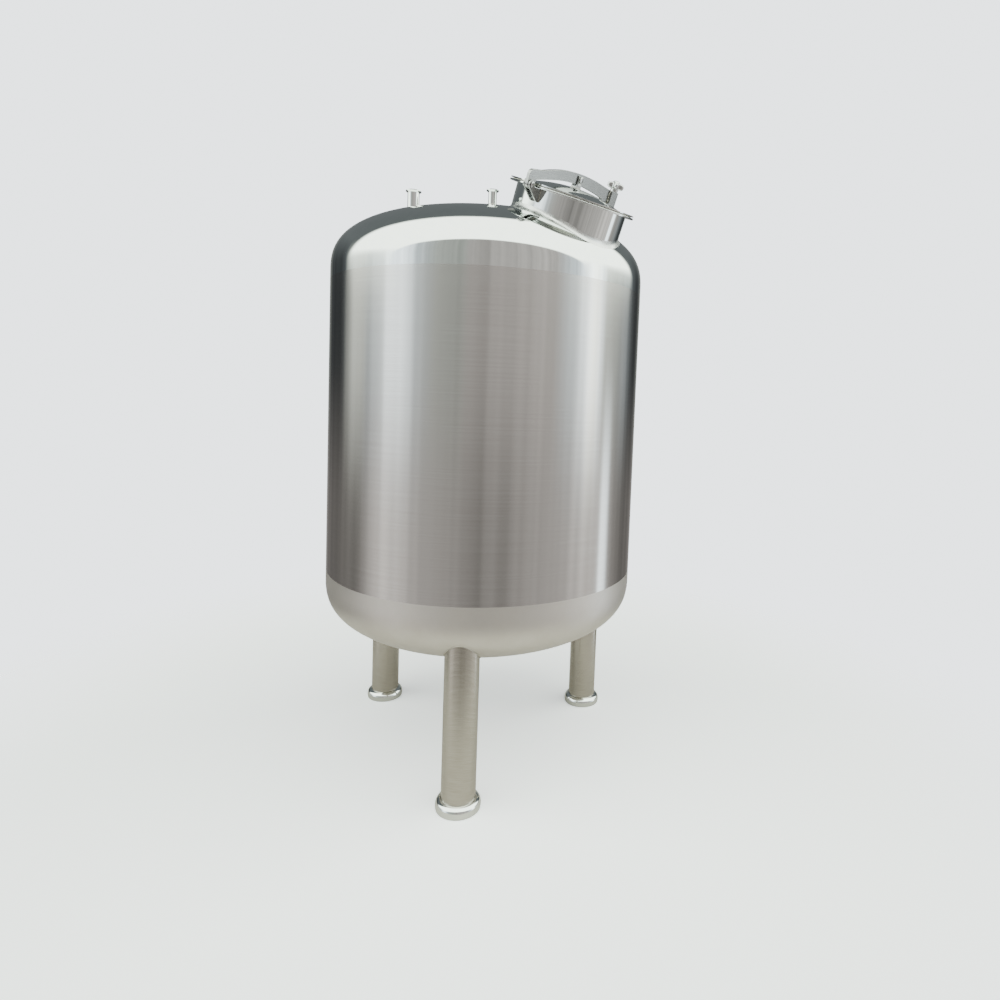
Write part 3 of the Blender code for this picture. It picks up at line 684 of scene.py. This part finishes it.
collar_rings = []
for step in range(COLLAR_STEPS + 1):
    t = step / COLLAR_STEPS
    ring = []
    for a in turns:
        foot_z, edge_z = dome_foot(NECK_R, a), dome_foot(NECK_R + COLLAR, a)
        start, root = Vector((NECK_R, foot_z + COLLAR)), Vector((NECK_R, foot_z))
        end = Vector((NECK_R + COLLAR, edge_z - COLLAR_SUNK))
        spot = start * (1 - t) ** 2 + root * (2 * t * (1 - t)) + end * t ** 2
        ring.append(Vector((spot.x * math.cos(a), spot.x * math.sin(a), spot.y)))
    collar_rings.append(ring)
collar_rings.append([Vector((NECK_R * math.cos(a), NECK_R * math.sin(a),
                             dome_foot(NECK_R, a) - COLLAR_ROOT)) for a in turns])
collar_steel = mirror_stainless("buffed weld collar", ("#c9ccc9", "#dcdedb"), 0.30, 0.0004)
collar = skin("manhole_neck_collar", collar_rings, collar_steel, place=manhole)
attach(collar, "tank")

rim_outline = softened([(RIM_R, -RIM_T), (RIM_R, 0.0), (NECK_R - NECK_WALL, 0.0),
                        (NECK_R - NECK_WALL, -RIM_T)], RIM_EDGE)
rim = skin("manhole_rim_ring", turned(rim_outline, MANHOLE_ROUND), mirror_steel, place=manhole)
fit(rim, "tank", "mirror_stainless", "manhole_rim")


# Cover. A lid spun from 3 mm sheet to a low dome with a flat margin, over a moulded silicone
# gasket. A U of flat bar on its crown is pinned to the arm that carries it.
LID_R = 0.2055
LID_SHEET = 0.003
LID_BASE = 0.0066
LID_CROWN_R = 0.160
LID_RISE = 0.026
LID_KNUCKLE = 0.05
GASKET = ((0.1795, 0.0003), (0.1980, 0.0003), (0.1980, 0.0033), (0.1795, 0.0033))
LUG_PIN_Z = 0.060
LUG_ABOVE_PIN = 0.010
LUG_LENGTH = 0.024
LUG_WALL = 0.004
LUG_FLOOR = 0.005
LUG_FREE = 0.0012
ARM_T = 0.012
EDGE = 0.0008
PIN_R = 0.005
PIN_HEAD_R = 0.0085
PIN_HEAD_T = 0.003
PIN_FREE = 0.0003
DRILL_REACH = 0.04


def lid_section(drop):
    """The lid's section from its edge to its middle, its crown melting into the flat margin."""
    points = [(LID_R, LID_BASE - drop), (LID_CROWN_R + 0.02, LID_BASE - drop)]
    for k in range(25):
        radius = LID_CROWN_R * 1.1 * (1 - k / 24)
        swell = 1 - (radius / LID_CROWN_R) ** 2
        swell = (swell + math.hypot(swell, LID_KNUCKLE)) / 2
        points.append((radius, LID_BASE - drop + LID_RISE * swell / (1 + LID_KNUCKLE ** 2 / 4)))
    return points


def silicone():
    """White moulded silicone: matt and a little yellowed."""
    made = bpy.data.materials.new("white silicone rubber")
    made.use_nodes = True
    tree = made.node_tree
    rubber = tree.nodes["Principled BSDF"]
    spot = add(tree, "ShaderNodeTexCoord").outputs["Object"]
    dust = add(tree, "ShaderNodeTexNoise", {"Vector": spot, "Scale": 120.0, "Detail": 4.0})
    paint = add(tree, "ShaderNodeMixRGB", {"Fac": dust.outputs[0], "Color1": linear("#d2cdc0"),
                                           "Color2": linear("#e4e1d8")})
    gloss = add(tree, "ShaderNodeMapRange", {"Value": dust.outputs[0], "To Min": 0.45,
                                             "To Max": 0.65})
    tree.links.new(paint.outputs[0], rubber.inputs["Base Color"])
    tree.links.new(gloss.outputs[0], rubber.inputs["Roughness"])
    rubber.inputs["IOR"].default_value = 1.41
    return made


def bar(name, outline, low, high, material, drills=(), edge=EDGE, place=manhole):
    """Flat bar with an (x, z) outline between two y values, edges broken and holes drilled."""
    bm = bmesh.new()
    near = [bm.verts.new((p[0], low, p[1])) for p in outline]
    far = [bm.verts.new((p[0], high, p[1])) for p in outline]
    bm.faces.new(near)
    bm.faces.new(far[::-1])
    for k in range(len(outline)):
        nxt = (k + 1) % len(outline)
        bm.faces.new((near[nxt], near[k], far[k], far[nxt]))
    bmesh.ops.recalc_face_normals(bm, faces=bm.faces)
    made = show(name, bm, material)
    broken = made.modifiers.new("broken edges", "BEVEL")
    broken.width = edge
    broken.segments = 3
    broken.limit_method = "ANGLE"
    broken.angle_limit = math.radians(40)
    settle(made)
    cut(made, *[drill(x, z, Matrix()) for x, z in drills])
    flats = made.modifiers.new("flat faces", "WEIGHTED_NORMAL")
    flats.weight = 100
    settle(made)
    grind(made.data)
    made.data.transform(place)
    return made


def grind(mesh):
    """Gives flat bar its surface map in metres, with V along the bar, the way it was ground."""
    layer = mesh.uv_layers.get("surface") or mesh.uv_layers.new(name="surface")
    for face in mesh.polygons:
        faces_x, faces_y, faces_z = [abs(n) for n in face.normal]
        for k in face.loop_indices:
            p = mesh.vertices[mesh.loops[k].vertex_index].co
            if faces_x > max(faces_y, faces_z):
                layer.data[k].uv = (p.z, p.y)
            else:
                layer.data[k].uv = (p.z if faces_y > faces_z else p.y, p.x)


def cross_pin_place(x, z, place=manhole):
    return place @ Matrix.Translation((x, 0.0, z)) @ Matrix.Rotation(math.radians(-90), 4, "X")


def drill(x, z, place=manhole):
    """A cutter for a cross hole with running clearance round its pin."""
    return plug(PIN_R + PIN_FREE, -DRILL_REACH, DRILL_REACH, cross_pin_place(x, z, place), 32)


def cross_pin(name, x, z, reach, material):
    """A headed pin across the arm, both heads slightly domed and their edges broken."""
    half = [(PIN_R, 0.0), (PIN_R, reach - PIN_HEAD_T), (PIN_HEAD_R - 0.0006, reach - PIN_HEAD_T),
            (PIN_HEAD_R, reach - PIN_HEAD_T + 0.0006), (PIN_HEAD_R, reach - 0.0009),
            (PIN_HEAD_R - 0.0009, reach - 0.0002), (PIN_HEAD_R * 0.5, reach)]
    profile = [(0.0, -reach)] + [(r, -h) for r, h in half[::-1]] + half[1:] + [(0.0, reach)]
    return skin(name, turned(profile, 40), material, loop=False, place=cross_pin_place(x, z))


gasket_outline = softened(GASKET, 0.0011)
gasket = skin("manhole_gasket_ring", turned(gasket_outline, MANHOLE_ROUND), silicone(),
              place=manhole)
fit(gasket, "cover", "seal_rubber", "manhole_gasket")

lid_outline = lid_section(0.0) + lid_section(LID_SHEET)[::-1]
lid = skin("manhole_lid_spun", turned(lid_outline, MANHOLE_ROUND), mirror_steel, place=manhole)
fit(lid, "cover", "mirror_stainless", "manhole_lid")

lug_inner, lug_base = ARM_T / 2 + LUG_FREE, LID_BASE + LID_RISE + SEAM
lug_outer, lug_top = lug_inner + LUG_WALL, LUG_PIN_Z + LUG_ABOVE_PIN
lug_floor = lug_base + LUG_FLOOR
lug_outline = [(-lug_outer, lug_base), (lug_outer, lug_base), (lug_outer, lug_top),
               (lug_inner, lug_top), (lug_inner, lug_floor), (-lug_inner, lug_floor),
               (-lug_inner, lug_top), (-lug_outer, lug_top)]
# The flat bar's grey sits below stainless steel's own. Part of that is its duller ground face; part
# is painted shade for the dim walls and floor that the arm, fork, lug and ears mirror.
bar_steel = brushed_stainless("ground stainless flat bar", ("#9a9c9b", "#acaeac"), 0.30, 0.3,
                              line=0.002, run=0.03)


# Cover arm. A 12 mm plate cut to a low arch and ground, its hinge boss at one end and a slotted
# block for the swing bolt welded on at the other.
HINGE_X, HINGE_Z = -0.228, -0.002
ARM_END_X = 0.192
ARM_TOP = ((-0.185, 0.046), (-0.140, 0.058), (-0.080, 0.070), (0.0, 0.077), (0.080, 0.076),
           (0.140, 0.071), (0.192, 0.066))
ARM_UNDER = ((0.192, 0.014), (0.150, 0.031), (0.080, 0.039), (0.0, 0.043), (-0.080, 0.038),
             (-0.150, 0.026), (-0.206, 0.014))
BOSS_R = 0.014
SHOULDER_Z, SHOULDER_R = 0.024, 0.016
FORK_UNDER_Z, FORK_TOP_Z = 0.014, 0.066
FORK_END_X = 0.232
FORK_W = 0.032
FORK_SLOT_W = 0.016
FORK_SLOT_X = 0.210
FORK_CORNER_R = 0.003


def arc(x, z, radius, start, end, steps):
    turns = [math.radians(start + (end - start) * k / steps) for k in range(steps + 1)]
    return [Vector((x + radius * math.cos(a), z + radius * math.sin(a))) for a in turns]


arm_outline = arc(HINGE_X, HINGE_Z, BOSS_R, 180, 350, 20) + eased(ARM_UNDER, 4)[::-1]
arm_outline += eased(ARM_TOP, 4)[::-1]
arm_outline += arc(HINGE_X - BOSS_R + SHOULDER_R, SHOULDER_Z, SHOULDER_R, 100, 180, 8)
arm = bar("cover_arm_plate", arm_outline, -ARM_T / 2, ARM_T / 2, bar_steel,
          ((0.0, LUG_PIN_Z), (HINGE_X, HINGE_Z)), edge=0.0012)
fit(arm, "cover", "satin_stainless", "cover_arm")

flat_way = manhole @ Matrix.Rotation(math.radians(90), 4, "X")
fork_half, slot_half = FORK_W / 2, FORK_SLOT_W / 2
fork_corner = [(ARM_END_X, -fork_half), (FORK_END_X, -fork_half), (FORK_END_X, -slot_half)]
fork_outline = softened(fork_corner, FORK_CORNER_R)[3:]
fork_outline = [Vector((ARM_END_X, -fork_half))] + fork_outline[:-1]
fork_outline += arc(FORK_SLOT_X + slot_half, 0.0, slot_half, 270, 90, 16)
fork_outline += [Vector((p[0], -p[1])) for p in fork_outline[:9]][::-1]
fork = bar("arm_fork_block", fork_outline, FORK_UNDER_Z, FORK_TOP_Z, bar_steel, edge=0.001,
           place=flat_way)
fit(fork, "cover", "satin_stainless", "arm_fork")

lug_turn = manhole @ Matrix.Rotation(math.radians(90), 4, "Z")
lug = bar("lid_lug_bar", softened(lug_outline, 0.0015), -LUG_LENGTH / 2, LUG_LENGTH / 2, bar_steel,
          place=lug_turn)
cut(lug, drill(0.0, LUG_PIN_Z))
fit(lug, "cover", "satin_stainless", "lid_lug")
pin_steel = mirror_stainless("turned stainless pin", ("#b9bbb9", "#cfd1cf"), 0.16, 0.0001)
lug_pin = cross_pin("lid_lug_pin_turned", 0.0, LUG_PIN_Z, 0.0155, pin_steel)
fit(lug_pin, "cover", "mirror_stainless", "lid_lug_pin")


# Hinge and clamp ears. Pairs of 5 mm plate ears welded to the neck's side: one pair holds the arm's
# boss on a pin, the other holds the swing bolt's eye.
CLAMP_X, CLAMP_Z = 0.222, -0.042
EAR_T = 0.005
EAR_INNER_Y = 0.008
EAR_ROOT_X = 0.1812
HINGE_EAR_R = 0.013
CLAMP_EAR_R = 0.012
HINGE_EAR_Z = (-0.0460, -0.0070)
CLAMP_EAR_Z = (-0.0600, -0.0180)
HINGE_EAR_FOOT = (-0.1925, -0.0440)
CLAMP_EAR_FOOT = (0.1945, -0.0600)
hinge_low, hinge_top = HINGE_EAR_Z
hinge_ear = [Vector((-EAR_ROOT_X, hinge_top)), Vector((-EAR_ROOT_X, hinge_low)),
             Vector(HINGE_EAR_FOOT)]
hinge_ear += arc(HINGE_X, HINGE_Z, HINGE_EAR_R, -125, -360, 24)
hinge_ear += [Vector((HINGE_X + HINGE_EAR_R, hinge_top))]
clamp_low, clamp_top = CLAMP_EAR_Z
clamp_ear = [Vector((EAR_ROOT_X, clamp_top)), Vector((EAR_ROOT_X, clamp_low)),
             Vector(CLAMP_EAR_FOOT)]
clamp_ear += arc(CLAMP_X, CLAMP_Z, CLAMP_EAR_R, -100, 110, 20)
ear_outer_y = EAR_INNER_Y + EAR_T
for kind, outline, x, z in (("hinge", hinge_ear, HINGE_X, HINGE_Z),
                            ("clamp", clamp_ear, CLAMP_X, CLAMP_Z)):
    for side, near_y in (("near", -ear_outer_y), ("far", EAR_INNER_Y)):
        ear = bar("%s_ear_plate_%s" % (kind, side), outline, near_y, near_y + EAR_T, bar_steel,
                  ((x, z),))
        fit(ear, "tank", "satin_stainless", "%s_ear_%s" % (kind, side))
    pin_reach = ear_outer_y + PIN_FREE + PIN_HEAD_T
    pin = cross_pin(kind + "_pin_turned", x, z, pin_reach, pin_steel)
    fit(pin, "tank", "mirror_stainless", kind + "_pin")


# Swing bolt and star knob. An M12 eye bolt hangs on the clamp pin and swings up into the arm's
# fork. A cast and polished five-lobed knob turns on its thread and pulls the cover down.
ROD_R = 0.006
ROD_FOOT = 0.004
ROD_TOP = 0.1315
ROD_ROUND = 24
THREAD_FOOT = 0.062
THREAD_PITCH = 0.00175
THREAD_DEPTH = 0.0009
EYE_R = 0.011
KNOB_FOOT_Z = 0.0665
KNOB_BORE_R = 0.0063
KNOB_BORE_TOP = 0.025
KNOB_LOBES = 5
KNOB_ROUND = 120
KNOB_SECTION = (
    # radius, lobe reach, height: foot, waist, under side, rim, crown
    (0.0135, 0.0, 0.0004), (0.0135, 0.0, 0.0088), (0.0180, 0.0030, 0.0094),
    (0.0220, 0.0052, 0.0112), (0.0238, 0.0060, 0.0150), (0.0240, 0.0060, 0.0200),
    (0.0236, 0.0058, 0.0245), (0.0215, 0.0047, 0.0280), (0.0170, 0.0020, 0.0296),
    (0.0130, 0.0, 0.0304), (0.0112, 0.0, 0.0330), (0.0080, 0.0, 0.0352), (0.0040, 0.0, 0.0359))


def threaded_rod():
    """A plain shank with a rolled thread on its upper half and a broken end."""
    rings = turned([(0.0, ROD_FOOT), (ROD_R, ROD_FOOT), (ROD_R, THREAD_FOOT)], ROD_ROUND)
    count = round((ROD_TOP - 0.001 - THREAD_FOOT) / THREAD_PITCH * 4)
    for row in range(1, count):
        height = THREAD_FOOT + row * THREAD_PITCH / 4
        ring = []
        for k in range(ROD_ROUND):
            phase = (row / 4 - k / ROD_ROUND) % 1.0
            radius = ROD_R - THREAD_DEPTH * abs(2 * phase - 1)
            angle = math.tau * k / ROD_ROUND
            ring.append(Vector((radius * math.cos(angle), radius * math.sin(angle), height)))
        rings.append(ring)
    rings += turned([(ROD_R - THREAD_DEPTH, ROD_TOP), (0.0, ROD_TOP)], ROD_ROUND)
    return rings


bolt_place = manhole @ Matrix.Translation((CLAMP_X, 0.0, CLAMP_Z))
eye_half = ARM_T / 2
eye_section = [(0.0, -eye_half), (EYE_R - EDGE, -eye_half), (EYE_R, -eye_half + EDGE),
               (EYE_R, eye_half - EDGE), (EYE_R - EDGE, eye_half), (0.0, eye_half)]
bolt = skin("swing_bolt_threaded", turned(eye_section, 48), pin_steel, loop=False,
            place=Matrix.Rotation(math.radians(-90), 4, "X"))
rod = skin("rod", threaded_rod(), pin_steel, loop=False, sharp=50.0)
joined = bolt.modifiers.new("joined", "BOOLEAN")
joined.operation = "UNION"
joined.solver = "EXACT"
joined.object = rod
settle(bolt)
bpy.data.objects.remove(rod, do_unlink=True)
cut(bolt, drill(0.0, 0.0, Matrix()))
bolt.data.transform(bolt_place)
fit(bolt, "swing_bolt", "mirror_stainless", "swing_bolt")

knob_rings = turned([(0.0, KNOB_BORE_TOP), (KNOB_BORE_R, KNOB_BORE_TOP), (KNOB_BORE_R, 0.0004),
                     (KNOB_BORE_R + 0.0004, 0.0), (0.0131, 0.0)], KNOB_ROUND)
for radius, lobe, height in eased(KNOB_SECTION, 3):
    ring = []
    for k in range(KNOB_ROUND):
        angle = math.tau * k / KNOB_ROUND
        reach = radius + lobe * math.cos(KNOB_LOBES * angle)
        ring.append(Vector((reach * math.cos(angle), reach * math.sin(angle), height)))
    knob_rings.append(ring)
knob_rings.append([Vector((0.0, 0.0, 0.0360))])
knob_steel = mirror_stainless("polished cast stainless", ("#c8cbc9", "#dcdedc"), 0.09, 0.0003)
knob = skin("star_knob_cast", knob_rings, knob_steel, loop=False,
            place=manhole @ Matrix.Translation((CLAMP_X, 0.0, KNOB_FOOT_Z)))
fit(knob, "star_knob", "mirror_stainless", "star_knob")


# Weld beads. The ripples of hand TIG welds left as laid: round each leg and ferrule, down both
# sides of every ear, round the lug and where the fork meets the arm.
LEG_BEAD = (0.0030, 0.0052)
FINE_BEAD = (0.0016, 0.0028)
LEG_BEAD_OUT = 0.001
FINE_BEAD_OUT = 0.0006
FINE_BEAD_LIFT = 0.0005
EAR_BEAD_X = EAR_ROOT_X + 0.001
BEAD_END = 0.002
FORK_BEAD_Z = (0.017, 0.063)
BEAD_SEED = 7


def bead_tree():
    tree = bpy.data.node_groups.new("weld bead along lines", "GeometryNodeTree")
    sockets = tree.interface
    sockets.new_socket("Geometry", in_out="INPUT", socket_type="NodeSocketGeometry")
    for label, kind in (("Ripple pitch", "NodeSocketFloat"), ("Bead width", "NodeSocketFloat"),
                        ("Seed", "NodeSocketInt"), ("Steel", "NodeSocketMaterial")):
        sockets.new_socket(label, in_out="INPUT", socket_type=kind)
    sockets.new_socket("Geometry", in_out="OUTPUT", socket_type="NodeSocketGeometry")
    given = add(tree, "NodeGroupInput").outputs
    line = add(tree, "GeometryNodeMeshToCurve", {"Mesh": given["Geometry"]})
    spaced = add(tree, "GeometryNodeResampleCurve",
                 {"Curve": line.outputs[0], "Length": given["Ripple pitch"]}, mode="LENGTH")
    half = add(tree, "ShaderNodeMath", {0: given["Bead width"], 1: 0.5}, operation="MULTIPLY")
    drop = add(tree, "GeometryNodeMeshUVSphere", {"Segments": 8, "Rings": 6,
                                                  "Radius": half.outputs[0]})
    smooth = add(tree, "GeometryNodeSetShadeSmooth", {"Geometry": drop.outputs["Mesh"]})
    uneven = add(tree, "FunctionNodeRandomValue", {2: 0.88, 3: 1.1, "Seed": given["Seed"]})
    along = add(tree, "GeometryNodeInputTangent").outputs[0]
    turn = add(tree, "FunctionNodeAlignRotationToVector", {"Vector": along}, axis="X")
    laid = add(tree, "GeometryNodeInstanceOnPoints",
               {"Points": spaced.outputs[0], "Instance": smooth.outputs[0],
                "Rotation": turn.outputs[0], "Scale": uneven.outputs[1]})
    real = add(tree, "GeometryNodeRealizeInstances", {"Geometry": laid.outputs[0]})
    coated = add(tree, "GeometryNodeSetMaterial", {"Geometry": real.outputs[0],
                                                   "Material": given["Steel"]})
    add(tree, "NodeGroupOutput", {"Geometry": coated.outputs[0]})
    return tree


def lay_beads(name, body, lines, bead, tree, steel):
    """One mesh of ripples along every line; a line is a list of points and whether it closes."""
    bm = bmesh.new()
    for points, closed in lines:
        verts = [bm.verts.new(p) for p in points]
        for a, b in list(zip(verts, verts[1:])) + ([(verts[-1], verts[0])] if closed else []):
            bm.edges.new((a, b))
    beads = show(name, bm, steel)
    laid = beads.modifiers.new("laid", "NODES")
    laid.node_group = tree
    values = {"Ripple pitch": bead[0], "Bead width": bead[1], "Seed": BEAD_SEED, "Steel": steel}
    for socket in tree.interface.items_tree:
        if socket.in_out == "INPUT" and socket.name in values:
            laid[socket.identifier] = values[socket.name]
    settle(beads)
    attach(beads, body)


bead_steel = satin_stainless("pickled weld bead", ("#a19c90", "#c4c1b8"), 0.34)
tree = bead_tree()
leg_lines = [(coped(foot.x, foot.y, [(LEG_R + LEG_BEAD_OUT, None)], LEG_ROUND,
                    WELD_LOW_Z - LEG_BEAD_OUT, -1)[0], True) for foot in leg_feet.values()]
lay_beads("leg_weld_beads", "tank", leg_lines, LEG_BEAD, tree, bead_steel)
fine_lines = [(coped(foot.x, foot.y, [(tube_r + FINE_BEAD_OUT, None)], 48,
                     base_z + up * FINE_BEAD_LIFT, up)[0], True)
              for foot, tube_r, base_z, up in port_feet.values()]
for x, (low, high) in ((-EAR_BEAD_X, HINGE_EAR_Z), (EAR_BEAD_X, CLAMP_EAR_Z)):
    for y in (-ear_outer_y, ear_outer_y):
        ends = [Vector((x, y, low + BEAD_END)), Vector((x, y, high - BEAD_END))]
        fine_lines.append(([manhole @ end for end in ends], False))
lay_beads("fitting_weld_beads", "tank", fine_lines, FINE_BEAD, tree, bead_steel)
lug_corners = [(x * LUG_LENGTH / 2, y * lug_outer, lug_base)
               for x, y in ((-1, -1), (1, -1), (1, 1), (-1, 1))]
cover_lines = [([manhole @ Vector(p) for p in lug_corners], True)]
for side in (-ARM_T / 2, ARM_T / 2):
    cover_lines.append(([manhole @ Vector((ARM_END_X, side, z)) for z in FORK_BEAD_Z], False))
lay_beads("cover_weld_beads", "cover", cover_lines, FINE_BEAD, tree, bead_steel)
